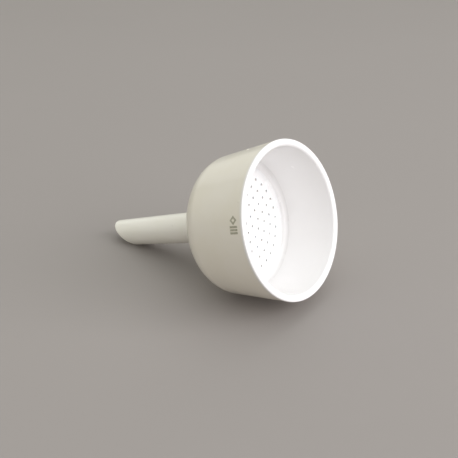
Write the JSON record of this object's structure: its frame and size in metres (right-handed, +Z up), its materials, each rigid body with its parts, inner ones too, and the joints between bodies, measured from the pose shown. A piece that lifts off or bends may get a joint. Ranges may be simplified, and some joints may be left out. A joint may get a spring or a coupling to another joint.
{
  "type": "porcelain filter funnel",
  "caption": "White glazed porcelain funnel lying on its side: flared bowl with a fixed perforated filter plate, rounded base and a tapered stem with a slanted tip.",
  "frame": {"origin": "middle of the object's footprint on the table it lies on, at table height (bounding box bottom centre)", "axes": "+Z up, +X along the lying funnel from the stem tip to the mouth, so the funnel's own axis lies in the XZ plane and rises 19.7 degrees towards +X; +Y completes the frame, across the bowl"},
  "size_m": [0.1436, 0.0836, 0.0873],
  "materials": {
    "glazed_porcelain": "clear gloss glaze over cream white hard porcelain",
    "plate_porcelain": "thin glaze, a little less glossy, small punched holes",
    "slip_joint": "glazed slip wiped to a hollow fillet",
    "mark_enamel": "grey green underglaze print"
  },
  "bodies": {
    "root": {"upper_wall": "glazed_porcelain", "lower_bowl": "glazed_porcelain", "stem": "glazed_porcelain", "filter_plate": "plate_porcelain", "plate_slip_fillet": "slip_joint", "stem_slip_collar": "slip_joint", "fired_mark": "mark_enamel"}
  },
  "joints": []
}
